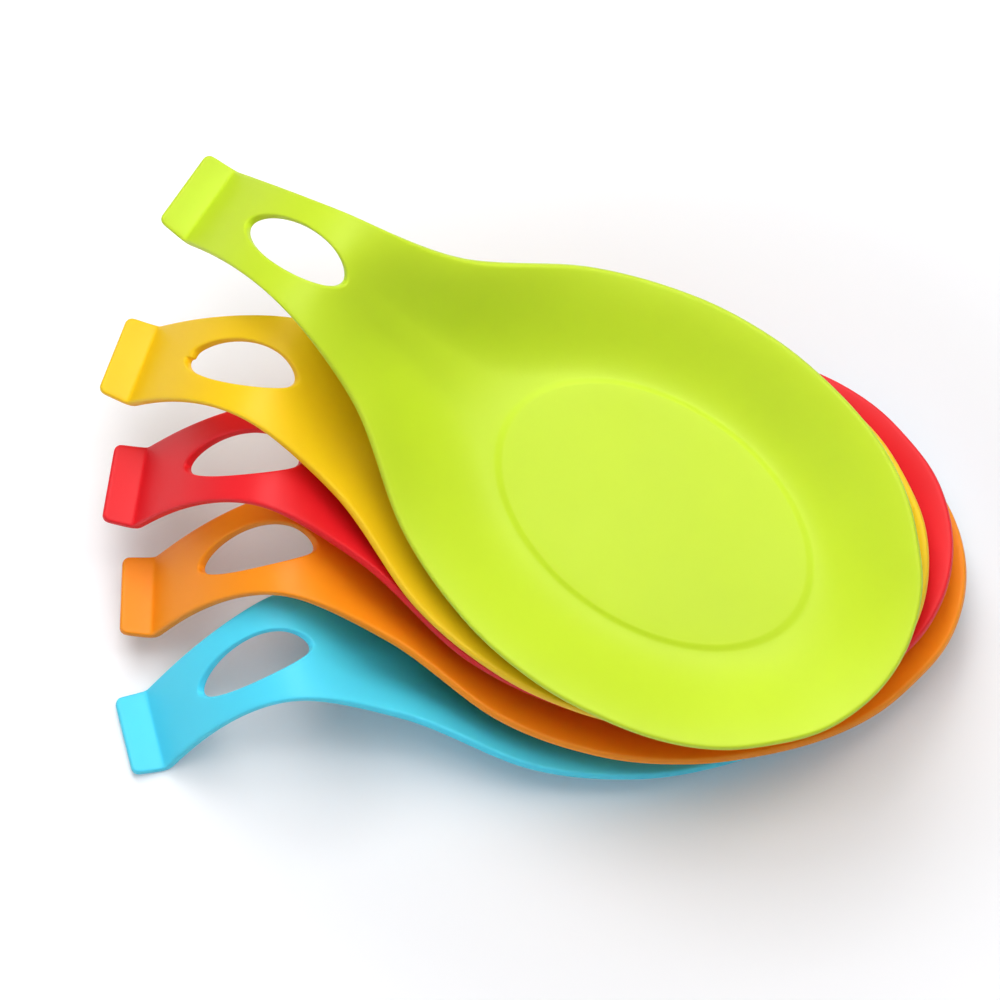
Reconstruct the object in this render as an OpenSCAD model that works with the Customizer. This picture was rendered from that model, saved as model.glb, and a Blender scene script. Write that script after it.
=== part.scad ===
// Five moulded spoon rests, stacked with their handles fanned out.
// Millimetres, +Z up. The origin is the centre of the lowest rest's base, on the
// surface that it stands on. +X runs to that rest's front tip, its handle to -X.

/* [Rest] */
// Length of one rest, from the bowl's front tip to the end of its tab
rest_length = 195; // [170:1:220]
// Width of the bowl at its widest
bowl_width = 94.4; // [84:0.2:104]
// Reach of the front tip from the centre of the base
front_reach = 64.7; // [60:0.1:70]
// Thickness of the moulded wall
wall = 2.2; // [1.6:0.1:2.6]

/* [Bowl] */
// Length of the flat oval base
base_length = 80.6; // [70:0.2:88]
// Width of the flat oval base
base_width = 51.6; // [44:0.2:60]
// Rise of the base's raised oval above the foot of the bowl's wall
base_rise = 0.4; // [0.2:0.1:0.8]
// Height of the rim at the front tip
rim_height = 11.1; // [10:0.1:14]

/* [Handle] */
// Height of the handle's arch at its top
arch_height = 31.5; // [26:0.5:38]
// Width of the handle where its tab bends up
handle_width = 20; // [16:0.5:24]
// Length of the hanging hole
hole_length = 27.8; // [20:0.2:30]
// Width of the hanging hole
hole_width = 10.8; // [8:0.2:12]
// Distance from the hole's centre to the end of the tab
hole_to_end = 33.4; // [30:0.2:38]

/* [Tab] */
// Length of the flat tab that ends the handle
tab_length = 7.2; // [6:0.2:10]
// Width of the tab at its end
tab_width = 19.2; // [16:0.2:22]
// Rise of the tab from its bend to its end
tab_rise = 1.4; // [1:0.2:4]
// Radius of the tab's corners
tab_corner = 1.5; // [1:0.5:4]

/* [Stack] */
// Clear gap kept between neighbouring rests where they touch
stack_gap = 0.36; // [0.3:0.02:1]

/* [Orange rest] */
// Turn of the orange rest from the blue one, clockwise from above
orange_turn = 14.7; // [13:0.1:17]
// Shift of its base's centre along the blue rest's length
orange_shift_x = 3.3; // [-8:0.1:8]
// Shift of its base's centre across the blue rest
orange_shift_y = -2.9; // [-8:0.1:8]
// Tilt of its handle upwards
orange_tilt = 0.6; // [-0.4:0.1:1.6]
// Tilt of its far side upwards
orange_side_tilt = -2.1; // [-3.1:0.1:-1.1]

/* [Red rest] */
// Turn of the red rest from the blue one, clockwise from above
red_turn = 22.3; // [20:0.1:24]
// Shift of its base's centre along the blue rest's length
red_shift_x = 1.7; // [-8:0.1:8]
// Shift of its base's centre across the blue rest
red_shift_y = 3.7; // [-8:0.1:8]
// Tilt of its handle upwards
red_tilt = 0.8; // [-0.2:0.1:1.8]
// Tilt of its far side upwards
red_side_tilt = 0.3; // [-0.7:0.1:1.3]

/* [Yellow rest] */
// Turn of the yellow rest from the blue one, clockwise from above
yellow_turn = 34.5; // [32:0.1:36]
// Shift of its base's centre along the blue rest's length
yellow_shift_x = -3.0; // [-8:0.1:8]
// Shift of its base's centre across the blue rest
yellow_shift_y = 4.3; // [-8:0.1:8]
// Tilt of its handle upwards
yellow_tilt = 3.1; // [2.1:0.1:4.1]
// Tilt of its far side upwards
yellow_side_tilt = 4.8; // [3.8:0.1:5.8]

/* [Green rest] */
// Turn of the green rest from the blue one, clockwise from above
green_turn = 49.7; // [48:0.1:52]
// Shift of its base's centre along the blue rest's length
green_shift_x = -1.7; // [-8:0.1:8]
// Shift of its base's centre across the blue rest
green_shift_y = 3.6; // [-8:0.1:8]
// Tilt of its handle upwards
green_tilt = 9.4; // [8.4:0.1:10.4]
// Tilt of its far side upwards
green_side_tilt = 11.2; // [10.2:0.1:12.2]

/* [Hidden] */
// Half widths at equal steps of the outline's parameter, first as shares of the bowl's half width
bowl_width_shares = [0, 0.206, 0.408, 0.581, 0.755, 0.884, 0.965, 1, 0.951, 0.773];
// and then as shares of the handle's half width, down to the tab's bend
handle_width_shares = [2.09, 1.257, 1];
// Heights of the rim at the same steps, first as shares of the rim's front height
rim_height_shares = [1, 1.049, 1.117, 1.147, 1.14, 1.141, 1.112, 1.056, 1.042, 1.212];
// and then as shares of the arch's height, with the tab's bend on the surface below
arch_height_shares = [0.672, 1];
// The wall's curve from its foot to the rim mixes a power with a smooth step, which flares the rim
wall_curve = 2;
lip_share = 0.55;
// Power of the tab's curve from its bend to its end
tab_curve = 1.4;
// Where the handle's form has replaced the bowl's, as a share of the base's half length
handle_form_share = 0.8;
// How softly the level floor narrows behind the base's oval, as a share of that half length
floor_fade = 0.3;
// Steps in which each rest is let down onto the one below it
settling_steps = 5;
// Length over which the slope of the face is taken there
slope_probe = 0.2;
// Share of the rest's length over which the neck's trough rises into the handle
trough_share = 0.25;
// Where the neck's spokes leave the base's end, as a share of the rest's length from the tip
neck_share = 0.64;
// Number of samples of the rim, and of facet stations along each stretch of one side
rim_samples = 80;
bowl_steps = 18;
neck_steps = 5;
hole_steps = 9;
arch_steps = 3;
// Shares of each spoke at which its points lie, the first being the foot of the wall
spoke_shares = [0.02, 0.17, 0.33, 0.5, 0.67, 0.84, 1];
// Angles round the rim's rounded lip
lip_angles = [60, 120];

// The face's edge stands back from the outline by the rounded lip: more on the sloping bowl wall
inset_share = 0.8;
bowl_inset = inset_share * wall;
handle_inset = wall / 2;
half_bowl = bowl_width / 2 - bowl_inset;
half_handle = handle_width / 2 - handle_inset;
half_tab = tab_width / 2 - handle_inset;
tip_x = front_reach - bowl_inset;
tail_x = front_reach - rest_length + handle_inset;
face_length = tip_x - tail_x;
base_a = base_length / 2;
base_b = base_width / 2;
bend_x = front_reach - rest_length + tab_length;
hole_x = front_reach - rest_length + hole_to_end;
bend_u = sqrt((tip_x - bend_x) / face_length);
neck_u = sqrt(neck_share);
trough_length = trough_share * face_length;

half_widths = concat(
    [for (s = bowl_width_shares) s * half_bowl],
    [for (s = handle_width_shares) s * half_handle]
);
rim_heights = concat(
    [for (s = rim_height_shares) s * rim_height],
    [for (s = arch_height_shares) s * arch_height],
    [wall]
);

// Smooth step from 0 to 1
function ease(t) = let (k = min(max(t, 0), 1)) k * k * (3 - 2 * k);

// Smooth curve through a table of equally spaced values, at place p counted in steps
function curve_at(table, p, start_slope) =
    let (n = len(table) - 1)
    let (i = min(max(floor(p), 0), n - 1))
    let (t = p - i)
    let (m0 = i == 0 ? start_slope : (table[i + 1] - table[i - 1]) / 2)
    let (end_slope = (3 * table[n] - 4 * table[n - 1] + table[n - 2]) / 2)
    let (m1 = i == n - 1 ? end_slope : (table[i + 2] - table[i]) / 2)
    let (a = 2 * t * t * t - 3 * t * t + 1)
    let (b = t * t * t - 2 * t * t + t)
    let (c = t * t * t - t * t)
    a * table[i] + b * m0 + (1 - a) * table[i + 1] + c * m1;

function rim_x(u) = tip_x - face_length * u * u;
function x_to_u(x) = sqrt((tip_x - x) / face_length);
function place_of(u) = u / bend_u * (len(half_widths) - 1);
function rim_half(u) = curve_at(half_widths, place_of(u), half_widths[1]);
function rim_z(u) = curve_at(rim_heights, place_of(u), 0);

// Height of the rest's middle line at x: flat over the base, then rising into the handle
function spine_z(x) =
    let (edge_z = x > bend_x ? rim_z(x_to_u(x)) : tab_z(x))
    wall + (edge_z - wall) * ease((-base_a - x) / trough_length);

// Height of the tab at x, curving up from its bend
function tab_z(x) =
    let (t = (bend_x - x) / tab_length)
    wall + tab_rise * (t > 0 ? pow(t, tab_curve) : t);

// Polar angle and reach of a point once the base's oval is drawn as a circle of radius 1
function oval_angle(x, y) = atan2(abs(y) * base_a / base_b, x);
function oval_reach(x, y) = norm([x / base_a, y / base_b]);

// The rim's reach and height against that angle
rim_us = [for (k = [0 : rim_samples]) bend_u * k / rim_samples];
rim_angles = [for (u = rim_us) oval_angle(rim_x(u), rim_half(u))];
rim_reaches = [for (k = [0 : rim_samples])
    [rim_angles[k], oval_reach(rim_x(rim_us[k]), rim_half(rim_us[k]))]];
rim_levels = [for (k = [0 : rim_samples]) [rim_angles[k], rim_z(rim_us[k])]];

// Height of the upper face: in the bowl the wall rises along rays from the base's centre, in the
// handle across its width, and between the two the forms are mixed
function wall_share(f) =
    let (k = min(max(f, 0), 1))
    (1 - lip_share) * pow(k, wall_curve) + lip_share * ease(k);
function bowl_height(x, y) =
    let (angle = oval_angle(x, y))
    let (f = (oval_reach(x, y) - 1) / (lookup(angle, rim_reaches) - 1))
    wall + (lookup(angle, rim_levels) - wall) * wall_share(f);
function floor_half(x) =
    let (v = 1 - x * x / (base_a * base_a))
    base_b * sqrt((v + norm([v, floor_fade])) / (1 + norm([1, floor_fade])));
function handle_height(x, y) =
    let (u = x_to_u(x))
    let (f = (abs(y) - floor_half(x)) / (rim_half(u) - floor_half(x)))
    spine_z(x) + (rim_z(u) - spine_z(x)) * wall_share(f);
function height_at(x, y) =
    let (mix = ease(1 + x / (handle_form_share * base_a)))
    x < bend_x ? tab_z(x) :
    mix == 1 ? bowl_height(x, y) :
    mix == 0 ? handle_height(x, y) :
    handle_height(x, y) + (bowl_height(x, y) - handle_height(x, y)) * mix;

// A station is [rim point, inner point in plan, which lies on the base's oval (0), on the middle
// line (1) or on the hole's edge (2)]
function bowl_station(u) =
    let (k = u / neck_u)
    let (rim_angle = oval_angle(rim_x(u), rim_half(u)))
    let (left = half_turn - oval_angle(rim_x(neck_u), rim_half(neck_u)))
    let (angle = rim_angle + left * k * k * k * k)
    [
        [rim_x(u), rim_half(u), rim_z(u)],
        [base_a * cos(angle), base_b * sin(angle)],
        0
    ];

// Along the neck the spokes start on its middle line, lagging behind their rim points until the
// hole begins, and along the handle they start on the middle line or on the hole's edge
function handle_station(u, half_hole) =
    let (x = rim_x(u))
    let (catch_up = ease((rim_x(neck_u) - x) / (rim_x(neck_u) - hole_x - hole_length / 2)))
    let (lag = (-base_a - rim_x(neck_u)) * (1 - catch_up))
    [
        [x, rim_half(u), rim_z(u)],
        [x + lag, half_hole],
        half_hole > 0 ? 2 : 1
    ];
function hole_station(turn) =
    handle_station(x_to_u(hole_x + hole_length / 2 * cos(turn)), hole_width / 2 * sin(turn));

// The tab's rim runs along its side, round its corner and across its end
function tab_half(x) = half_handle + (half_tab - half_handle) * (bend_x - x) / (bend_x - tail_x);
function tab_point(x, y) = [x, y, tab_z(x)];
tab_spine_end = tail_x + tab_corner;
tab_rim = concat(
    [tab_point((bend_x + tail_x + tab_corner) / 2, tab_half((bend_x + tail_x + tab_corner) / 2))],
    [for (a = [0, 45, 90])
        tab_point(tail_x + tab_corner * (1 - sin(a)), half_tab - tab_corner * (1 - cos(a)))],
    [tab_point(tail_x, (half_tab - tab_corner) / 2)],
    [tab_point(tail_x, 0)]
);
function tab_spine_x(k) = bend_x + (tab_spine_end - bend_x) * k / len(tab_rim);

half_turn = 180;
hole_front_u = x_to_u(hole_x + hole_length / 2);
hole_back_u = x_to_u(hole_x - hole_length / 2);
half_stations = concat(
    [for (k = [0 : bowl_steps - 1]) bowl_station(neck_u * k / bowl_steps)],
    [for (k = [0 : neck_steps - 1])
        handle_station(neck_u + (hole_front_u - neck_u) * k / neck_steps, 0)],
    [for (k = [0 : hole_steps - 1]) hole_station(half_turn * k / hole_steps)],
    [for (k = [0 : arch_steps])
        handle_station(hole_back_u + (bend_u - hole_back_u) * k / arch_steps, 0)],
    [for (k = [1 : len(tab_rim)]) [tab_rim[k - 1], [tab_spine_x(k), 0], 1]]
);

// Stations run once round the rest: out along +Y from the tip to the tail, and back
half_count = len(half_stations) - 1;
loop_count = 2 * half_count;
function flip_y(p) = [for (k = [0 : len(p) - 1]) k == 1 ? -p[k] : p[k]];
function station(i) =
    let (k = (i + loop_count) % loop_count)
    k <= half_count ? half_stations[k] :
    let (s = half_stations[loop_count - k])
    [flip_y(s[0]), flip_y(s[1]), s[2]];

// Point on the upper face of a spoke, which is straight in plan
function spoke_point(s, f) =
    let (flat = s[1] * (1 - f) + [s[0][0], s[0][1]] * f)
    f == 1 ? s[0] : [flat[0], flat[1], height_at(flat[0], flat[1])];

function unit(v) = v / norm(v);
foot_rows = len(spoke_shares);
upper = [for (i = [0 : loop_count - 1])
    concat([spoke_point(station(i), 0)], [for (f = spoke_shares) spoke_point(station(i), f)])];
function upper_at(i, j) = upper[(i + loop_count) % loop_count][j];

// On the middle line the neighbour across is the same spoke on the other side
function row_before(i, j) =
    j > 0 ? upper_at(i, j - 1) :
    station(i)[2] == 1 ? flip_y(upper_at(i, 1)) : upper_at(i, 0);
function normal_at(i, j) =
    let (across = upper_at(i, min(j + 1, foot_rows)) - row_before(i, j))
    let (along = upper_at(i + 1, j) - upper_at(i - 1, j))
    unit(cross(across, along));
function side_index(i) = let (k = (i + loop_count) % loop_count) min(k, loop_count - k);
function on_base(i, j) = side_index(i) <= bowl_steps && j < 2;
function face_normal(i, j) =
    on_base(i, j) ? [0, 0, 1] : normal_at(i, side_index(i) == half_count ? max(j, 1) : j);

// Outward direction at the rim, along the face
function outward(i) =
    let (n = face_normal(i, foot_rows))
    unit(cross(upper_at(i + 1, foot_rows) - upper_at(i - 1, foot_rows), n));

// The points of one spoke all the way round the wall's section
function raised(p, i) = on_base(i, 0) ? [p[0], p[1], p[2] + base_rise] : p;
function lip_point(i, a) =
    upper_at(i, foot_rows)
    + face_normal(i, foot_rows) * wall / 2 * (cos(a) - 1)
    + outward(i) * wall / 2 * sin(a);
function lower_at(i, j) = upper_at(i, j) - face_normal(i, j) * wall;
function section(i) = concat(
    [raised(upper_at(i, 0), i)],
    [for (j = [1 : foot_rows]) upper_at(i, j)],
    [for (a = lip_angles) lip_point(i, a)],
    [for (j = [foot_rows : -1 : 0]) lower_at(i, j)]
);

section_count = 2 * (foot_rows + 1) + len(lip_angles);
last_row = section_count - 1;
points = [for (i = [0 : loop_count - 1]) each section(i)];

// Inner points on the middle line are shared by the two sides
function index(i, r) =
    let (k = (i + loop_count) % loop_count)
    let (shared = station(k)[2] == 1 && (r == 0 || r == last_row) && k > half_count)
    (shared ? loop_count - k : k) * section_count + r;
function quad(a, b, c, d) = [[a, b, c], [a, c, d]];
function strip(i, r, s) = quad(index(i, r), index(i + 1, r), index(i + 1, s), index(i, s));
function on_hole(i) = station(i)[2] == 2;
function beside_hole(i) = on_hole(i) || on_hole(i + 1);

base_stations = concat(
    [for (i = [loop_count - bowl_steps + 1 : loop_count - 1]) i],
    [for (i = [0 : bowl_steps]) i]
);
faces = concat(
    [for (i = [0 : loop_count - 1]) for (r = [0 : last_row - 1]) each strip(i, r, r + 1)],
    [for (i = [0 : loop_count - 1]) if (beside_hole(i)) each strip(i, last_row, 0)],
    [[for (k = [len(base_stations) - 1 : -1 : 0]) index(base_stations[k], 0)]],
    [[for (i = base_stations) index(i, last_row)]]
);

// Turning matrix of a laid rest: its side tilt, then its tilt, then its turn; and the way back
function lean_of(turn, tilt, side_tilt) =
    [[cos(turn), sin(turn), 0], [-sin(turn), cos(turn), 0], [0, 0, 1]]
    * [[cos(tilt), 0, sin(tilt)], [0, 1, 0], [-sin(tilt), 0, cos(tilt)]]
    * [[1, 0, 0], [0, cos(side_tilt), -sin(side_tilt)], [0, sin(side_tilt), cos(side_tilt)]];
function back_of(lean) = [for (c = [0 : 2]) [for (r = [0 : 2]) lean[r][c]]];

// What can touch: a rest's underside, with its normals, on the face of the rest below, and the
// lip of the rest below on that underside
under_points = [for (i = [0 : loop_count - 1]) for (j = [0 : foot_rows])
    [lower_at(i, j), face_normal(i, j)]];
lip_points = [for (i = [0 : loop_count - 1]) for (a = concat([0], lip_angles)) lip_point(i, a)];
function half_at(x) = x < bend_x ? tab_half(x) : rim_half(x_to_u(x));
function over_face(p) = p[0] > tail_x && p[0] < tip_x && abs(p[1]) < half_at(p[0]);
function floor_rise(p) = oval_reach(p[0], p[1]) < 1 ? base_rise : 0;
function slant_at(x, y) =
    let (here = height_at(x, y))
    let (rise_x = height_at(x + slope_probe, y) - here)
    let (rise_y = height_at(x, y + slope_probe) - here)
    norm([rise_x, rise_y, slope_probe]) / slope_probe;

// How far a rest has to rise from a trial lift until the gap is clear all over
function face_rise(place, low, high) =
    let (back = back_of(low))
    max([for (u = under_points)
        let (p = back * (place + high * u[0]))
        let (level = (back * (high * u[1]))[2])
        over_face(p)
        ? stack_gap / level + height_at(p[0], p[1]) + floor_rise(p) - p[2]
        : -rest_length]);
function lip_rise(place, low, high) =
    let (back = back_of(high))
    max([for (q = lip_points)
        let (p = back * (low * q - place))
        over_face(p)
        ? (stack_gap + wall) * slant_at(p[0], p[1]) - height_at(p[0], p[1]) + p[2]
        : -rest_length]);
function settled(place, low, high, steps_left) =
    let (rise = max(face_rise(place, low, high), lip_rise(place, low, high)))
    steps_left == 0 ? place : settled(place + [0, 0, rise], low, high, steps_left - 1);

// Each rest is let down, from a trial lift of one rim's height, onto the rest below it
function laid_at(x, y, last, low, high) =
    last + settled([x - last[0], y - last[1], rim_height], low, high, settling_steps);
blue_lean = lean_of(0, 0, 0);
orange_lean = lean_of(orange_turn, orange_tilt, orange_side_tilt);
red_lean = lean_of(red_turn, red_tilt, red_side_tilt);
yellow_lean = lean_of(yellow_turn, yellow_tilt, yellow_side_tilt);
green_lean = lean_of(green_turn, green_tilt, green_side_tilt);
blue_place = [0, 0, 0];
orange_place = laid_at(orange_shift_x, orange_shift_y, blue_place, blue_lean, orange_lean);
red_place = laid_at(red_shift_x, red_shift_y, orange_place, orange_lean, red_lean);
yellow_place = laid_at(yellow_shift_x, yellow_shift_y, red_place, red_lean, yellow_lean);
green_place = laid_at(green_shift_x, green_shift_y, yellow_place, yellow_lean, green_lean);

// One rest, standing on its base with the origin under the middle of it
module spoon_rest() {
    polyhedron(points = points, faces = faces, convexity = 8);
}

// One rest laid in the stack: its far side tilted up, its handle tilted up, then turned and placed
module laid_rest(place, turn, tilt, side_tilt) {
    translate(place)
        rotate([side_tilt, tilt, -turn])
            spoon_rest();
}

module blue_rest() {
    color([0.37, 0.91, 0.99])
        spoon_rest();
}

module orange_rest() {
    color([1, 0.55, 0.07])
        laid_rest(orange_place, orange_turn, orange_tilt, orange_side_tilt);
}

module red_rest() {
    color([0.92, 0.13, 0.16])
        laid_rest(red_place, red_turn, red_tilt, red_side_tilt);
}

module yellow_rest() {
    color([1, 0.83, 0.1])
        laid_rest(yellow_place, yellow_turn, yellow_tilt, yellow_side_tilt);
}

module green_rest() {
    color([0.8, 0.93, 0.27])
        laid_rest(green_place, green_turn, green_tilt, green_side_tilt);
}

blue_rest();
orange_rest();
red_rest();
yellow_rest();
green_rest();
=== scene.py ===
"""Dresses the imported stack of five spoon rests: smooth silicone mouldings on a pale table."""

import math

import bpy
import numpy as np
from bpy.props import FloatProperty, FloatVectorProperty, PointerProperty
from bpy.types import Operator, Panel, PropertyGroup
from mathutils import Matrix, Vector


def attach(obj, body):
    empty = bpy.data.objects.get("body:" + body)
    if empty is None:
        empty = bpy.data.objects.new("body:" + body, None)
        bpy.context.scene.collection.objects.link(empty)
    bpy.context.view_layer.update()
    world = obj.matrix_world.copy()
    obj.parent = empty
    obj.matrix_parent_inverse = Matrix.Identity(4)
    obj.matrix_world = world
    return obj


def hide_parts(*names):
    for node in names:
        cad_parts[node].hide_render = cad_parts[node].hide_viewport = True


bl_info = {
    "name": "Stacked spoon rests",
    "version": (1, 0, 0),
    "blender": (4, 5, 0),
    "location": "3D View > Sidebar > Spoon rests",
    "description": "Makes five nested silicone spoon rests with their stage",
    "category": "Object",
}

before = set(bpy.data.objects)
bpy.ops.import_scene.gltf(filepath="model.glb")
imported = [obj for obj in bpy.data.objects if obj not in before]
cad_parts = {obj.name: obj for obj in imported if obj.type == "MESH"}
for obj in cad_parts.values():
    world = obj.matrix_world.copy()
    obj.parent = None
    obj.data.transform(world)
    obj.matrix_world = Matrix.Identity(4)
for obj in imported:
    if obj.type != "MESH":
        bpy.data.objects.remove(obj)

MM = 0.001
RESTS = ("blue", "orange", "red", "yellow", "green")

# The rim at equal steps of the outline's parameter, from the front tip to the tab's bend: half
# widths as shares of the bowl's and then the handle's half width, and heights as shares of the
# rim's and then the arch's height
BOWL_WIDTH_SHARES = (0, 0.206, 0.408, 0.581, 0.755, 0.884, 0.965, 1, 0.951, 0.773)
HANDLE_WIDTH_SHARES = (2.09, 1.257, 1)
RIM_HEIGHT_SHARES = (1, 1.049, 1.117, 1.147, 1.14, 1.141, 1.112, 1.056, 1.042, 1.212)
ARCH_HEIGHT_SHARES = (0.672, 1)

# How far the sheet's edge lies inside the bowl's outline, as a share of the wall
INSET_SHARE = 0.8
# The wall's rise from its foot: a power, and the share of a smooth step that flares the rim
WALL_CURVE = 1.45
FLARE_SHARE = 0.55
# Length of the trough behind the base, as a share of the face's length
TROUGH_SHARE = 0.25
# Length over which the bowl's form gives way to the handle's, as a share of half the base
HANDLE_FORM_SHARE = 0.8
# How softly the level floor ends where the base's oval does
FLOOR_FADE = 0.3
# Where the spokes leave the base's oval, as a share of the face's length from the tip, and the
# power of the turn that brings them round to the oval's back
NECK_SHARE = 0.64
SPOKE_POWER = 4
# The tab's rise is a power of the way along it
TAB_CURVE = 1.4
# Ahead of the bend by more than this many bend roundings, the rim is the arch alone
BEND_REACH = 6
# The handle's arch is averaged over these steps along the rest, in metres, with these shares
SMOOTH_SHIFTS = (-0.006, -0.004, -0.002, 0, 0.002, 0.004, 0.006)
SMOOTH_SHARES = (1 / 16, 2 / 16, 3 / 16, 4 / 16, 3 / 16, 2 / 16, 1 / 16)
# Power of the sine and cosine that round a lip: 1 is half a circle, and less is squarer
LIP_POWER = 0.55
LIP_STEPS = 10
# Rings across the raised oval's edge, and inside it
STEP_RINGS = 8
FLOOR_RINGS = 5

# A nib of moulding flash: the rest that has it, its turn round the hole's edge from the end near
# the tab in radians, and its width in metres
FLASHED_REST = "yellow"
FLASH_TURN = 0.28
FLASH_WIDTH = 0.0009

# Small amounts that keep divisions and comparisons safe, in metres and square metres
SLOPE_STEP = 1e-4
LEAST_WIDTH = 1e-6
TINY_LENGTH = 1e-9
TINY_AREA = 1e-12

# Where each rest lies: shift along X, shift along Y and lift in millimetres, then the turn in
# the fan, the tilt along the rest and the side tilt in degrees
PLACES = {
    "blue": (0, 0, 0, 0, 0, 0),
    "orange": (3.3, -2.9, 8.394, 14.7, 0.6, -2.1),
    "red": (1.7, 3.7, 20.756, 22.3, 0.8, 0.3),
    "yellow": (-3, 4.3, 29.874, 34.5, 3.1, 4.8),
    "green": (-1.7, 3.6, 42.663, 49.7, 9.4, 11.2),
}
COLOURS = {
    "blue": (0.085, 0.72, 0.98),
    "orange": (0.98, 0.30, 0.006),
    "red": (0.80, 0.010, 0.018),
    "yellow": (0.98, 0.61, 0.006),
    "green": (0.585, 0.775, 0.025),
    "table": (0.86, 0.86, 0.88),
}

# The silicone's finish. Noise scales are in features per metre, lengths in metres
CLOUD = {"Scale": 22, "Detail": 3}
CLOUD_STOPS = ((0.3, 0.955), (0.7, 1.03))
GLOSS_PATCHES = {"Scale": 60, "Detail": 4}
GLOSS_RANGE = {"To Min": 0.44, "To Max": 0.56}
GRAIN = {"Scale": 2400, "Detail": 2}
GRAIN_BUMP = {"Strength": 0.25, "Distance": 0.00006}
SILICONE = {
    "IOR": 1.42,
    "Specular IOR Level": 0.4,
    "Subsurface Weight": 0.2,
    "Subsurface Scale": 0.003,
    "Subsurface Radius": (1.0, 0.8, 0.6),
}

# The table's half side in metres, its soft unevenness, and its painted glow: strengths at
# distances from
# # the middle of the rests, in metres. The glow is faint near the rests, so the table stays
# darker there
# # as painted shade, and brings it to white far away
TABLE_REACH = 4.0
TABLE_CLOUD = {"Scale": 3}
TABLE_STOPS = ((0, 0.99), (1, 1))
PAINTED_GLOW = ((0.08, 0.04), (0.22, 0.5), (0.7, 0.8), (1.8, 1))
PAINTED_GLOW_REACH = 2

# Square lamps by place in metres and power in watts, their side, and the point they face
LAMPS = {
    "window": ((0.0, 0.02, 1.2), 6.0),
    "back": ((0.0, 0.6, 1.05), 5.8),
    "right": ((0.6, 0.0, 1.05), 2.6),
    "left": ((-0.9, -0.2, 0.35), 1.4),
    "front": ((0.0, -0.6, 1.05), 2.0),
}
LAMP_SIDE = 0.6
LAMP_TARGET = (-0.02, 0.01, 0.02)
WHITE = (1, 1, 1, 1)
SOFT_WORLD = {"Color": (0.93, 0.95, 1, 1), "Strength": 0.05}

# The camera: its place in millimetres, and in radians the way that it faces from Y towards X,
# how far it looks down, and its turn about the line of sight
CAMERA_PLACE = (-89.7085, -378.052, 988.9573)
CAMERA_AZIMUTH = 0.1402
CAMERA_DROP = 1.1721
CAMERA_TURN = -0.1276
FOCAL_PIXELS = 4552.87
IMAGE_PIXELS = 1000
SENSOR = 36
CLIP_START, CLIP_END = 0.01, 50


def size_property(name, description, millimetres):
    """A length of one rest, in metres."""
    return FloatProperty(
        name=name,
        description=description,
        default=millimetres * MM,
        min=0,
        unit="LENGTH",
        subtype="DISTANCE",
    )


class SpoonRestSizes(PropertyGroup):
    """Sizes of one rest, in metres"""

    rest_length: size_property("Length", "Length of one rest", 195)
    bowl_width: size_property("Bowl width", "Width of the bowl at its widest", 94.4)
    front_reach: size_property("Front reach", "Front tip from the base's centre", 64.7)
    wall: size_property("Wall", "Thickness of the moulded wall", 2.2)
    base_length: size_property("Base length", "Length of the flat oval base", 80.6)
    base_width: size_property("Base width", "Width of the flat oval base", 51.6)
    base_rise: size_property("Base rise", "Rise of the base's raised oval", 0.6)
    base_step: size_property("Base step", "Width of the raised oval's edge", 1.7)
    rim_height: size_property("Rim height", "Height of the rim at the tip", 11.1)
    arch_height: size_property("Arch height", "Height of the handle's arch", 31.5)
    handle_width: size_property("Handle width", "Width at the tab's bend", 20)
    hole_length: size_property("Hole length", "Length of the hanging hole", 27.8)
    hole_width: size_property("Hole width", "Width of the hanging hole", 10.8)
    hole_to_end: size_property("Hole to end", "Hole's centre from the tab's end", 33.4)
    hole_edge: size_property("Hole edge", "Rounding of the hole's edge", 0.7)
    flash: size_property("Flash", "Moulding flash left in the yellow rest's hole", 1.1)
    tab_length: size_property("Tab length", "Length of the tab", 7.2)
    tab_width: size_property("Tab width", "Width of the tab's end", 19.2)
    tab_rise: size_property("Tab rise", "Rise of the tab", 1.4)
    tab_corner: size_property("Tab corner", "Radius of the tab's corners", 0.6)
    bend_round: size_property("Bend rounding", "Rounding of the tab's bend", 0.5)


def colour_property(key, name):
    """A colour of one rest or the table, from the colours at the top."""
    return FloatVectorProperty(
        name=name,
        description=f"Colour of the {name.lower()}",
        default=COLOURS[key],
        min=0,
        max=1,
        size=3,
        subtype="COLOR",
    )


class SpoonRestColours(PropertyGroup):
    """Colours of the five rests and the table"""

    blue: colour_property("blue", "Blue rest")
    orange: colour_property("orange", "Orange rest")
    red: colour_property("red", "Red rest")
    yellow: colour_property("yellow", "Yellow rest")
    green: colour_property("green", "Green rest")
    table: colour_property("table", "Table")


def ease(t):
    """Smooth step: three t squared minus two t cubed, for t held between 0 and 1."""
    k = np.clip(t, 0, 1)
    return k * k * (3 - 2 * k)


def curve_at(table, place, start_slope):
    """Cubic through equally spaced values. Each piece joins two values, weighted by two t cubed
    minus three t squared plus one and by one less that, and adds their slopes, weighted by t
    cubed minus two t squared plus t and by t cubed minus t squared. A slope is half of the
    difference of the values on both sides, and the last is a parabola's through three values."""
    table = np.asarray(table, float)
    last = len(table) - 1
    place = np.asarray(place, float)
    i = np.clip(np.floor(place).astype(int), 0, last - 1)
    t = place - i
    slope = np.empty(last + 1)
    slope[0] = start_slope
    slope[1:-1] = (table[2:] - table[:-2]) / 2
    slope[-1] = (3 * table[-1] - 4 * table[-2] + table[-3]) / 2
    a = 2 * t**3 - 3 * t**2 + 1
    b = t**3 - 2 * t**2 + t
    c = t**3 - t**2
    return a * table[i] + b * slope[i] + (1 - a) * table[i + 1] + c * slope[i + 1]


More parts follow.
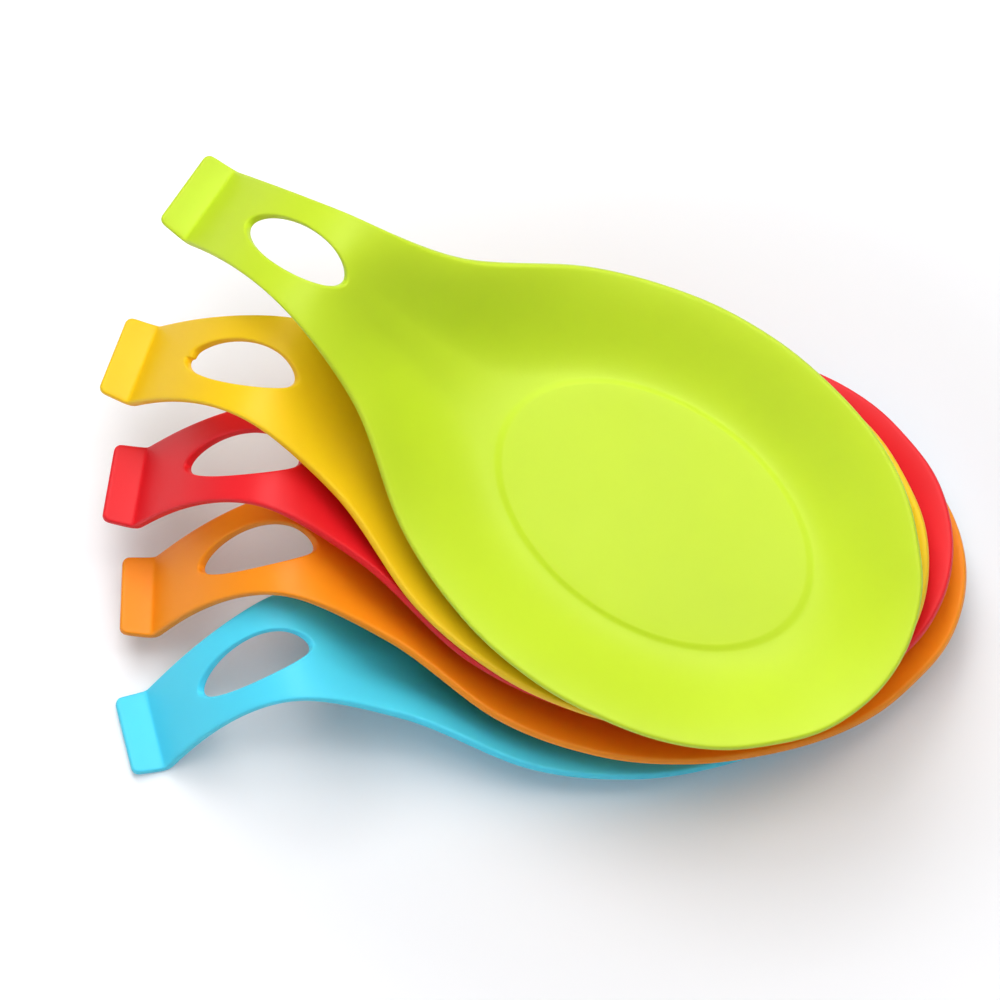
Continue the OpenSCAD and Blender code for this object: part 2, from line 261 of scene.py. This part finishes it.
class WallMesh:
    """Points and faces of one closed wall, gathered grid by grid."""

    def __init__(self):
        self.points, self.faces, self.count = [], [], 0

    def add(self, points):
        """Adds a grid of points, and gives a grid of their numbers."""
        numbers = self.count + np.arange(points[..., 0].size).reshape(points.shape[:-1])
        self.points.append(points.reshape(-1, 3))
        self.count += numbers.size
        return numbers

    def add_faces(self, faces, turned):
        """Adds faces by their point numbers, in reverse order where they are turned."""
        self.faces.append(faces[:, ::-1] if turned else faces)

    def strips(self, rows, turned):
        """Joins each row of point numbers to the next, and the last to the first, by quads."""
        after = np.roll(rows, -1, 0)
        quads = np.stack([rows[:, :-1], rows[:, 1:], after[:, 1:], after[:, :-1]], 2)
        self.add_faces(quads.reshape(-1, 4), turned)

    def fan(self, ring, centre, turned):
        """Joins each side of a ring of point numbers to one point, by triangles."""
        sides = np.stack([ring, np.roll(ring, -1), np.full_like(ring, centre)], 1)
        self.add_faces(sides, turned)


class RestForm:
    """One rest as a wall. Its upper face is a grid: stations round the rim, joined by straight
    spokes in plan to their feet on the base's oval, the middle line or the hole's edge."""

    # Stations along one side: bowl, neck, hole, arch, and the tab's side, corner and end
    BOWL, NECK, HOLE, ARCH = 96, 30, 60, 40
    TAB_SIDE, TAB_CORNER, TAB_END = 10, 9, 12
    # Steps along a spoke, and samples of the rim that the bowl's rays are read from
    ROWS = 26
    SAMPLES = 1500

    def __init__(self, sizes):
        s = self.s = sizes
        self.edge = s.wall / 2
        inset = INSET_SHARE * s.wall
        half_bowl = s.bowl_width / 2 - inset
        self.half_handle = s.handle_width / 2 - self.edge
        self.half_tab = s.tab_width / 2 - self.edge
        self.tip = s.front_reach - inset
        self.tail = s.front_reach - s.rest_length + self.edge
        self.face = self.tip - self.tail
        self.base_a = s.base_length / 2
        self.base_b = s.base_width / 2
        self.bend = s.front_reach - s.rest_length + s.tab_length
        self.hole = s.front_reach - s.rest_length + s.hole_to_end
        self.hole_a = s.hole_length / 2 + s.hole_edge
        self.hole_b = s.hole_width / 2 + s.hole_edge
        self.bend_u = math.sqrt((self.tip - self.bend) / self.face)
        self.neck_u = math.sqrt(NECK_SHARE)
        bowl_widths = np.array(BOWL_WIDTH_SHARES) * half_bowl
        handle_widths = np.array(HANDLE_WIDTH_SHARES) * self.half_handle
        self.widths = np.concatenate([bowl_widths, handle_widths])
        rim_heights = np.array(RIM_HEIGHT_SHARES) * s.rim_height
        arch_heights = np.array(ARCH_HEIGHT_SHARES) * s.arch_height
        self.heights = np.concatenate([rim_heights, arch_heights, [s.wall]])

    def rim_x(self, u):
        """Place along the rest: the tip less the face's length times u squared."""
        return self.tip - self.face * u * u

    def u_at(self, x):
        """The outline's parameter at a place along the rest: the root of the distance from the
        tip over the face's length."""
        return np.sqrt(np.maximum(self.tip - x, 0) / self.face)

    def table_at(self, table, u, start_slope):
        """A table's curve at u: the place in the table is u over the bend's u, times the number
        of steps."""
        return curve_at(table, u / self.bend_u * (len(table) - 1), start_slope)

    def rim_half(self, u):
        """Half width of the rim: the widths' curve, leaving the tip as steeply as its first
        step rises, which rounds the tip, because the place along goes with u squared."""
        return self.table_at(self.widths, u, self.widths[1])

    def rim_z(self, u):
        """Height of the rim. The arch is the heights' curve, with its last slope kept up past
        the bend, averaged over the smoothing steps along the rest. The tab is the wall plus its
        rise times the power of the way along it. The two are joined by a rounded maximum: half
        of their sum and of the root of their difference squared plus the rounding squared."""
        x = self.rim_x(u)
        end = self.table_at(self.heights, self.bend_u, 0)
        before = self.table_at(self.heights, self.bend_u - SLOPE_STEP, 0)
        slope = (end - before) / SLOPE_STEP
        arch = 0 * x
        for shift, share in zip(SMOOTH_SHIFTS, SMOOTH_SHARES):
            near = np.minimum(self.u_at(x + shift), self.bend_u)
            beyond = np.maximum(self.u_at(x + shift) - self.bend_u, 0)
            arch += share * (self.table_at(self.heights, near, 0) + slope * beyond)
        t = (self.bend - x) / self.s.tab_length
        rise = np.where(t > 0, np.abs(t) ** TAB_CURVE, t)
        tab = self.s.wall + self.s.tab_rise * rise
        gap = arch - tab
        rounded = (arch + tab + np.sqrt(gap**2 + self.s.bend_round**2)) / 2
        return np.where(x > self.bend + BEND_REACH * self.s.bend_round, arch, rounded)

    def rim_points(self, u):
        """The rim's points: place along, half width and height at u."""
        return np.stack([self.rim_x(u), self.rim_half(u), self.rim_z(u)], 1)

    def spine_z(self, x):
        """Height of the middle line: the base's, eased up to the rim's along the trough."""
        share = ease((-self.base_a - x) / (TROUGH_SHARE * self.face))
        return self.s.wall + (self.rim_z(self.u_at(x)) - self.s.wall) * share

    def oval_angle(self, x, y):
        """Polar angle of a point once the base's oval is drawn as a circle: the arc tangent of y
        times the oval's length over its width, over x."""
        return np.arctan2(np.abs(y) * self.base_a / self.base_b, x)

    def oval_reach(self, x, y):
        """Distance of a point from the centre, with the base's oval at 1: the root of x over the
        half length squared plus y over the half width squared."""
        return np.hypot(x / self.base_a, y / self.base_b)

    def wall_share(self, f):
        """Rise of the wall from its foot at 0 to the rim at 1: the smooth step times its share,
        plus the power times the rest."""
        k = np.clip(f, 0, 1)
        return (1 - FLARE_SHARE) * k**WALL_CURVE + FLARE_SHARE * ease(k)

    def bowl_height(self, x, y):
        """Height in the bowl: the wall rises along rays from the base's centre, from the oval
        at 1 to the rim's reach and height at the same polar angle."""
        rim_x, rim_half, rim_z = self.rim_points(np.linspace(0, self.bend_u, self.SAMPLES)).T
        angles = self.oval_angle(rim_x, rim_half)
        angle = self.oval_angle(x, y)
        reach = np.interp(angle, angles, self.oval_reach(rim_x, rim_half))
        level = np.interp(angle, angles, rim_z)
        share = self.wall_share((self.oval_reach(x, y) - 1) / (reach - 1))
        return self.s.wall + (level - self.s.wall) * share

    def floor_half(self, x):
        """Half width of the level floor: the oval's half width times the root of v, where v is
        one less the share of the half length squared. v gives way to itself plus the root of its
        square plus the fade squared, over the same sum at the middle, so that the floor thins
        out behind the oval."""
        v = 1 - (x / self.base_a) ** 2
        whole = 1 + math.hypot(1, FLOOR_FADE)
        return self.base_b * np.sqrt((v + np.hypot(v, FLOOR_FADE)) / whole)

    def handle_height(self, x, y):
        """Height along the handle: the wall rises across it, from the floor's half width to the
        rim's, and from the middle line's height to the rim's."""
        u = self.u_at(x)
        floor = self.floor_half(x)
        f = (np.abs(y) - floor) / np.maximum(self.rim_half(u) - floor, LEAST_WIDTH)
        spine = self.spine_z(x)
        return spine + (self.rim_z(u) - spine) * self.wall_share(f)

    def height_at(self, x, y):
        """The bowl's height, giving way by a smooth step to the handle's behind the base's
        middle, and the rim's height on the tab, which is level across."""
        handle = self.handle_height(np.maximum(x, self.bend), y)
        mix = ease(1 + x / (HANDLE_FORM_SHARE * self.base_a))
        height = handle + (self.bowl_height(x, y) - handle) * mix
        return np.where(x < self.bend, self.rim_z(self.u_at(x)), height)

    def bowl_stations(self):
        """Rim points and spoke feet from the tip to the neck. A foot lies on the base's oval at
        the rim point's polar angle, plus what the neck's lacks to half a turn, times the power
        of the share of the way to the neck."""
        u = self.neck_u * np.arange(self.BOWL) / self.BOWL
        rim = self.rim_points(u)
        rim_angle = self.oval_angle(rim[:, 0], rim[:, 1])
        neck_angle = self.oval_angle(self.rim_x(self.neck_u), self.rim_half(self.neck_u))
        angle = rim_angle + (np.pi - neck_angle) * (u / self.neck_u) ** SPOKE_POWER
        along, across = self.base_a * np.cos(angle), self.base_b * np.sin(angle)
        return rim, np.stack([along, across, np.full_like(angle, self.s.wall)], 1)

    def handle_stations(self):
        """Rim points and spoke feet from the neck to the tab's bend. The feet follow the middle
        line, which starts at the oval's back and has caught up with the rim by the hole, and
        the hole's edge, whose half width goes with the root of one less the share squared."""
        front_u = self.u_at(self.hole + self.hole_a)
        back_u = self.u_at(self.hole - self.hole_a)
        turns = np.cos(np.pi * np.arange(self.HOLE) / self.HOLE)
        neck = self.neck_u + (front_u - self.neck_u) * np.arange(self.NECK) / self.NECK
        hole = self.u_at(self.hole + self.hole_a * turns)
        arch = back_u + (self.bend_u - back_u) * np.arange(self.ARCH + 1) / self.ARCH
        u = np.concatenate([neck, hole, arch])
        x = self.rim_x(u)
        neck_x = self.rim_x(self.neck_u)
        caught = ease((neck_x - x) / (neck_x - self.hole - self.hole_a))
        spine = x + (-self.base_a - neck_x) * (1 - caught)
        off = (x - self.hole) / self.hole_a
        half_hole = self.hole_b * np.sqrt(np.clip(1 - off**2, 0, 1))
        return self.rim_points(u), np.stack([spine, half_hole, self.spine_z(spine)], 1)

    def tab_stations(self):
        """Rim points and spoke feet from the bend to the middle of the tab's end: a side that
        widens evenly, a quarter circle at the corner, and the end. The feet lie on the middle
        line at equal steps."""
        corner = self.s.tab_corner
        feet_end = self.tail + corner
        side = np.arange(1, self.TAB_SIDE + 1) / (self.TAB_SIDE + 1)
        turned = np.linspace(0, np.pi / 2, self.TAB_CORNER)
        across = 1 - np.arange(1, self.TAB_END + 1) / self.TAB_END
        side_x = self.bend + (feet_end - self.bend) * side
        corner_x = self.tail + corner * (1 - np.sin(turned))
        x = np.concatenate([side_x, corner_x, np.full(self.TAB_END, self.tail)])
        widening = (self.bend - side_x) / (self.bend - self.tail)
        side_y = self.half_handle + (self.half_tab - self.half_handle) * widening
        corner_y = self.half_tab - corner * (1 - np.cos(turned))
        y = np.concatenate([side_y, corner_y, (self.half_tab - corner) * across])
        rim = np.stack([x, y, self.rim_z(self.u_at(x))], 1)
        count = len(x)
        x = self.bend + (feet_end - self.bend) * np.arange(1, count + 1) / count
        return rim, np.stack([x, 0 * x, self.rim_z(self.u_at(x))], 1)

    def sheet(self):
        """The upper face: in plan, foot plus the way to the rim times the spoke's share, and
        the height from height_at. The second side is the first one with Y reversed."""
        sides = (self.bowl_stations(), self.handle_stations(), self.tab_stations())
        rim, feet = (np.concatenate(parts) for parts in zip(*sides))
        half = len(rim) - 1
        flip = np.array([1, -1, 1])
        rim = np.concatenate([rim, (rim[1:half] * flip)[::-1]])
        feet = np.concatenate([feet, (feet[1:half] * flip)[::-1]])
        f = np.linspace(0, 1, self.ROWS + 1)
        reach = (rim - feet)[:, None, :]
        points = feet[:, None, :] + reach * f[None, :, None]
        points[:, :, 2] = self.height_at(points[:, :, 0], points[:, :, 1])
        return points, half

    def normals(self, points):
        """The sheet's normals and its outward directions at the rim. A normal is the cross
        product of the grid's differences across and along, scaled to one. Feet on the middle
        line take their neighbour's, made level across, and feet on the base's oval point up.
        Outward is the cross product of the difference along the rim and the normal."""
        along = np.roll(points, -1, 0) - np.roll(points, 1, 0)
        across = np.gradient(points, axis=1)
        normal = np.cross(across, along)
        length = np.linalg.norm(normal, axis=2, keepdims=True)
        normal = normal / np.maximum(length, TINY_AREA)
        level = normal[:, 1] * np.array([1, 0, 1])
        level /= np.linalg.norm(level, axis=1, keepdims=True)
        middle = np.abs(points[:, 0, 1]) < TINY_LENGTH
        normal[middle, 0] = level[middle]
        count = len(points)
        side = np.minimum(np.arange(count), count - np.arange(count))
        normal[side <= self.BOWL, 0] = (0, 0, 1)
        outward = np.cross(along[:, -1], normal[:, -1])
        outward /= np.linalg.norm(outward, axis=1, keepdims=True)
        return normal, outward

    def lip(self, edge, normal, reach):
        """A strip round the wall's edge: the middle of the wall, plus half the wall along the
        normal times the cosine's power, plus the reach times the sine's power, over half a
        turn."""
        turns = np.linspace(0, np.pi, LIP_STEPS + 1)[1:-1]
        up = np.sign(np.cos(turns)) * np.abs(np.cos(turns)) ** LIP_POWER
        out = np.sin(turns) ** LIP_POWER
        middle = edge - normal * self.s.wall / 2
        rise = normal[:, None, :] * self.s.wall / 2 * up[None, :, None]
        return middle[:, None, :] + rise + reach[:, None, :] * out[None, :, None]

    def hole_reach(self, edge, normal, flash):
        """How far the hole's lip reaches in at each point: the edge's rounding, plus the flash
        times the exponential of minus the distance from it in flash widths squared. The way in
        is the cross product of the edge's difference and the normal, towards the middle."""
        tangent = np.roll(edge, -1, 0) - np.roll(edge, 1, 0)
        inward = -np.cross(tangent, normal)
        inward /= np.linalg.norm(inward, axis=1, keepdims=True)
        inward *= np.sign(((edge.mean(0) - edge) * inward).sum())
        flash_x = self.hole - self.hole_a * math.cos(FLASH_TURN)
        flash_y = self.hole_b * math.sin(FLASH_TURN)
        away = np.hypot(edge[:, 0] - flash_x, edge[:, 1] - flash_y) / FLASH_WIDTH
        size = self.s.hole_edge + flash * np.exp(-(away**2))
        return inward * size[:, None]

    def add_base(self, wall, oval, upper, lower):
        """Closes the wall over the base: rings of the oval that shrink to the middle, below at
        height 0, and above raised by the rise times a smooth step across the oval's edge."""
        s = self.s
        step = s.base_step / self.base_b
        on_step = 1 - step * np.linspace(0, 1, STEP_RINGS + 1)[1:]
        inside = np.linspace(1 - step, 0, FLOOR_RINGS + 2)[1:-1]
        shares = np.concatenate([on_step, inside])
        raised = s.wall + s.base_rise * ease((1 - shares) / step)
        discs = (
            (upper, raised, s.wall + s.base_rise, True),
            (lower, 0 * shares, 0, False),
        )
        for edge, level, centre_level, top in discs:
            rings = oval[None, :, :] * shares[:, None, None]
            rings[:, :, 2] = level[:, None]
            rows = np.concatenate([edge[None, :], wall.add(rings)]).T
            wall.strips(rows, top)
            centre = wall.add(np.array([[0, 0, centre_level]]))[0]
            wall.fan(rows[:, -1], centre, not top)

    def shell(self, flash):
        """The closed wall: the sheet, the sheet moved in by the wall along its normals, a lip
        round the rim and one in the hole, and the base with its raised oval."""
        points, half = self.sheet()
        normal, outward = self.normals(points)
        wall = WallMesh()
        upper = wall.add(points)
        lower = wall.add(points - normal * self.s.wall)

        # On the middle line the second side takes the first side's points
        count = len(points)
        ring = np.arange(count)
        shared = (np.abs(points[:, 0, 1]) < TINY_LENGTH) & (ring > half)
        for numbers in (upper, lower):
            numbers[shared, 0] = numbers[count - ring[shared], 0]
        wall.strips(upper, False)
        wall.strips(lower, True)

        rim_lip = wall.add(self.lip(points[:, -1], normal[:, -1], outward * self.edge))
        wall.strips(np.concatenate([upper[:, -1:], rim_lip, lower[:, -1:]], 1), False)

        first = self.BOWL + self.NECK
        last = first + self.HOLE
        back = count - np.arange(last - 1, first, -1)
        hole = np.concatenate([np.arange(first, last + 1), back])
        edge, edge_normal = points[hole, 0], normal[hole, 0]
        reach = self.hole_reach(edge, edge_normal, flash)
        hole_lip = wall.add(self.lip(edge, edge_normal, reach))
        wall.strips(np.concatenate([upper[hole, :1], hole_lip, lower[hole, :1]], 1), True)

        back = np.arange(count - self.BOWL + 1, count)
        base = np.concatenate([np.arange(self.BOWL + 1), back])
        self.add_base(wall, points[base, 0], upper[base, 0], lower[base, 0])
        return np.concatenate(wall.points), wall.faces


def placed(points, place):
    """Turns points by the side tilt about X, the tilt about Y and the turn about Z, clockwise
    from above, then moves them by the shifts and the lift."""
    x, y, lift, turn, tilt, side_tilt = place
    lean = (
        Matrix.Rotation(math.radians(-turn), 3, "Z")
        @ Matrix.Rotation(math.radians(tilt), 3, "Y")
        @ Matrix.Rotation(math.radians(side_tilt), 3, "X")
    )
    return points @ np.array(lean).T + np.array([x, y, lift]) * MM


def make_mesh(name, points, faces):
    """A smooth mesh from a point array and face arrays, with unused points left out."""
    used = np.unique(np.concatenate([f.ravel() for f in faces]))
    fresh = np.full(len(points), -1)
    fresh[used] = np.arange(len(used))
    listed = [row for f in faces for row in fresh[f].tolist()]
    mesh = bpy.data.meshes.new(name)
    mesh.from_pydata(points[used].tolist(), [], listed)
    mesh.validate()
    mesh.shade_smooth()
    return mesh


class NodeWriter:
    """Adds nodes to the tree of a material or a world and joins them."""

    def __init__(self, owner):
        owner.use_nodes = True
        self.tree = owner.node_tree
        self.tree.nodes.clear()

    def add(self, kind, values=None, **settings):
        """A node with its settings and the values of its sockets."""
        node = self.tree.nodes.new(kind)
        for key, value in settings.items():
            setattr(node, key, value)
        for socket, value in (values or {}).items():
            node.inputs[socket].default_value = value
        return node

    def join(self, source, target):
        """A link from one socket to another."""
        self.tree.links.new(source, target)

    def object_coordinates(self):
        """The piece's own coordinates, in metres."""
        return self.add("ShaderNodeTexCoord").outputs["Object"]

    def noise(self, coordinates, values):
        """A soft noise over the coordinates, from 0 to 1."""
        node = self.add("ShaderNodeTexNoise", values)
        self.join(coordinates, node.inputs["Vector"])
        return node.outputs["Fac"]

    def ramp(self, source, stops, interpolation="LINEAR"):
        """A colour that runs through stops of place and colour as the source grows."""
        node = self.add("ShaderNodeValToRGB")
        node.color_ramp.interpolation = interpolation
        elements = node.color_ramp.elements
        while len(elements) < len(stops):
            elements.new(1)
        for element, (place, colour) in zip(elements, stops):
            element.position = place
            element.color = (*colour, 1)
        self.join(source, node.inputs["Fac"])
        return node.outputs["Color"]

    def combined(self, operation, first, second):
        """Two values joined by one of the Math node's operations."""
        node = self.add("ShaderNodeMath", operation=operation)
        self.join(first, node.inputs[0])
        self.join(second, node.inputs[1])
        return node.outputs[0]

    def seen_factor(self):
        """1 for rays of the camera, of mirror-like gloss and of clear plastic, otherwise 0."""
        path = self.add("ShaderNodeLightPath").outputs
        first = self.combined("MAXIMUM", path["Is Camera Ray"], path["Is Glossy Ray"])
        return self.combined("MAXIMUM", first, path["Is Transmission Ray"])

    def finish(self, kind, surface):
        """Joins the surface to the tree's output."""
        self.join(surface, self.add(kind).inputs["Surface"])


def tinted(colour, stops):
    """Stops of a colour times their shares, held to 1."""
    return [(place, [min(c * share, 1) for c in colour]) for place, share in stops]


def silicone(name, colour):
    """Moulded silicone: satin, a little light under its surface, with faint cloudiness in its
    colour, uneven gloss and a fine matt grain."""
    material = bpy.data.materials.new(name)
    w = NodeWriter(material)
    coordinates = w.object_coordinates()
    cloud = w.noise(coordinates, CLOUD)
    gloss = w.add("ShaderNodeMapRange", GLOSS_RANGE)
    w.join(w.noise(coordinates, GLOSS_PATCHES), gloss.inputs["Value"])
    bump = w.add("ShaderNodeBump", GRAIN_BUMP)
    w.join(w.noise(coordinates, GRAIN), bump.inputs["Height"])
    shader = w.add("ShaderNodeBsdfPrincipled", SILICONE)
    w.join(w.ramp(cloud, tinted(colour, CLOUD_STOPS)), shader.inputs["Base Color"])
    w.join(gloss.outputs["Result"], shader.inputs["Roughness"])
    w.join(bump.outputs["Normal"], shader.inputs["Normal"])
    w.finish("ShaderNodeOutputMaterial", shader.outputs["BSDF"])
    return material


def table_top(colour):
    """A matt pale table with a very soft unevenness. A painted glow of its own, seen only by
    the camera, in gloss and through clear plastic, grows with the distance from the rests and
    brings the table to white there. Near the rests the glow is faint, so the table stays darker
    there as painted shade."""
    material = bpy.data.materials.new("pale_table")
    w = NodeWriter(material)
    coordinates = w.object_coordinates()
    cloud = w.noise(coordinates, TABLE_CLOUD)
    matt = w.add("ShaderNodeBsdfDiffuse")
    w.join(w.ramp(cloud, tinted(colour, TABLE_STOPS)), matt.inputs["Color"])
    away = w.add("ShaderNodeVectorMath", operation="LENGTH")
    w.join(coordinates, away.inputs[0])
    reach = w.add("ShaderNodeMath", operation="DIVIDE")
    reach.inputs[1].default_value = PAINTED_GLOW_REACH
    w.join(away.outputs["Value"], reach.inputs[0])
    # Painted glow by distance from the rests: faint near them, which leaves painted shade round
    # them, and white far away
    stops = [(distance / PAINTED_GLOW_REACH, [level] * 3) for distance, level in PAINTED_GLOW]
    level = w.ramp(reach.outputs[0], stops, "EASE")
    painted_glow = w.add("ShaderNodeEmission", {"Color": WHITE})
    w.join(w.combined("MULTIPLY", w.seen_factor(), level), painted_glow.inputs["Strength"])
    both = w.add("ShaderNodeAddShader")
    w.join(matt.outputs[0], both.inputs[0])
    w.join(painted_glow.outputs[0], both.inputs[1])
    w.finish("ShaderNodeOutputMaterial", both.outputs[0])
    return material


class SPOONREST_OT_rests(Operator):
    """Make the five nested rests"""

    bl_idname = "spoonrest.rests"
    bl_label = "Make the rests"

    def execute(self, context):
        sizes = context.scene.spoon_rest_sizes
        colours = context.scene.spoon_rest_colours
        form = RestForm(sizes)
        for rest in RESTS:
            name = f"{rest}_moulding"
            points, faces = form.shell(sizes.flash if rest == FLASHED_REST else 0)
            mesh = make_mesh(name, placed(points, PLACES[rest]), faces)
            mesh.materials.append(silicone(f"{rest}_silicone", getattr(colours, rest)))
            piece = bpy.data.objects.new(name, mesh)
            context.scene.collection.objects.link(piece)
            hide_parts(f"{rest}_rest")
            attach(piece, f"{rest}_rest")
        return {"FINISHED"}


def camera_axes(azimuth, drop, turn):
    """Right, up and back directions of a camera. It looks along the azimuth and down by the
    drop. Right is level, up is right cross ahead, and both are turned about ahead by the turn."""
    ahead = Vector(
        (
            math.sin(azimuth) * math.cos(drop),
            math.cos(azimuth) * math.cos(drop),
            -math.sin(drop),
        )
    )
    right = Vector((math.cos(azimuth), -math.sin(azimuth), 0))
    up = right.cross(ahead)
    turned = math.cos(turn) * right + math.sin(turn) * up
    return turned, -math.sin(turn) * right + math.cos(turn) * up, -ahead


class SPOONREST_OT_stage(Operator):
    """Make the table, the lamps, the world and the camera"""

    bl_idname = "spoonrest.stage"
    bl_label = "Make the stage"

    def execute(self, context):
        self.table(context)
        self.world(context)
        for name, (place, watts) in LAMPS.items():
            self.lamp(context, name, place, watts)
        self.camera(context)
        context.scene.view_settings.view_transform = "Standard"
        return {"FINISHED"}

    def table(self, context):
        """One square face at height 0."""
        reach = TABLE_REACH
        corners = [(-reach, -reach), (reach, -reach), (reach, reach), (-reach, reach)]
        mesh = bpy.data.meshes.new("table")
        mesh.from_pydata([(x, y, 0) for x, y in corners], [], [(0, 1, 2, 3)])
        mesh.materials.append(table_top(context.scene.spoon_rest_colours.table))
        table = bpy.data.objects.new("table", mesh)
        context.scene.collection.objects.link(table)

    def world(self, context):
        """A faint soft light, which camera, gloss and clear plastic see as white."""
        world = bpy.data.worlds.new("studio")
        w = NodeWriter(world)
        mix = w.add("ShaderNodeMixShader")
        w.join(w.seen_factor(), mix.inputs[0])
        w.join(w.add("ShaderNodeBackground", SOFT_WORLD).outputs[0], mix.inputs[1])
        w.join(w.add("ShaderNodeBackground", {"Color": WHITE}).outputs[0], mix.inputs[2])
        w.finish("ShaderNodeOutputWorld", mix.outputs[0])
        context.scene.world = world

    def lamp(self, context, name, place, watts):
        """A white square lamp that faces the rests."""
        light = bpy.data.lights.new(name, "AREA")
        light.shape = "SQUARE"
        light.size = LAMP_SIDE
        light.energy = watts
        lamp = bpy.data.objects.new(name, light)
        lamp.location = place
        way = Vector(LAMP_TARGET) - Vector(place)
        lamp.rotation_euler = way.to_track_quat("-Z", "Y").to_euler()
        context.scene.collection.objects.link(lamp)

    def camera(self, context):
        """The photograph's camera. The lens is its focal length in pixels over the image's
        width in pixels, times the sensor's width."""
        data = bpy.data.cameras.new("camera")
        data.lens = FOCAL_PIXELS / IMAGE_PIXELS * SENSOR
        data.sensor_width = SENSOR
        data.clip_start = CLIP_START
        data.clip_end = CLIP_END
        camera = bpy.data.objects.new("camera", data)
        axes = camera_axes(CAMERA_AZIMUTH, CAMERA_DROP, CAMERA_TURN)
        turn = Matrix(axes).transposed()
        place = Vector(CAMERA_PLACE) * MM
        camera.matrix_world = Matrix.Translation(place) @ turn.to_4x4()
        context.scene.collection.objects.link(camera)
        context.scene.camera = camera


class SPOONREST_PT_panel(Panel):
    """Lists the steps that make the scene, with the sizes and colours"""

    bl_idname = "SPOONREST_PT_panel"
    bl_label = "Spoon rests"
    bl_space_type = "VIEW_3D"
    bl_region_type = "UI"
    bl_category = "Spoon rests"

    def draw(self, context):
        scene = context.scene
        for operator in OPERATORS:
            self.layout.operator(operator.bl_idname)
        for group in (scene.spoon_rest_sizes, scene.spoon_rest_colours):
            for name in group.__annotations__:
                self.layout.prop(group, name)


OPERATORS = (SPOONREST_OT_rests, SPOONREST_OT_stage)
CLASSES = (SpoonRestSizes, SpoonRestColours, *OPERATORS, SPOONREST_PT_panel)


def register():
    for cls in CLASSES:
        bpy.utils.register_class(cls)
    bpy.types.Scene.spoon_rest_sizes = PointerProperty(type=SpoonRestSizes)
    bpy.types.Scene.spoon_rest_colours = PointerProperty(type=SpoonRestColours)


def unregister():
    del bpy.types.Scene.spoon_rest_colours
    del bpy.types.Scene.spoon_rest_sizes
    for cls in reversed(CLASSES):
        bpy.utils.unregister_class(cls)


def main():
    register()
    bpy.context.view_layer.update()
    bpy.ops.spoonrest.rests()
    bpy.ops.spoonrest.stage()


if __name__ == "__main__":
    main()
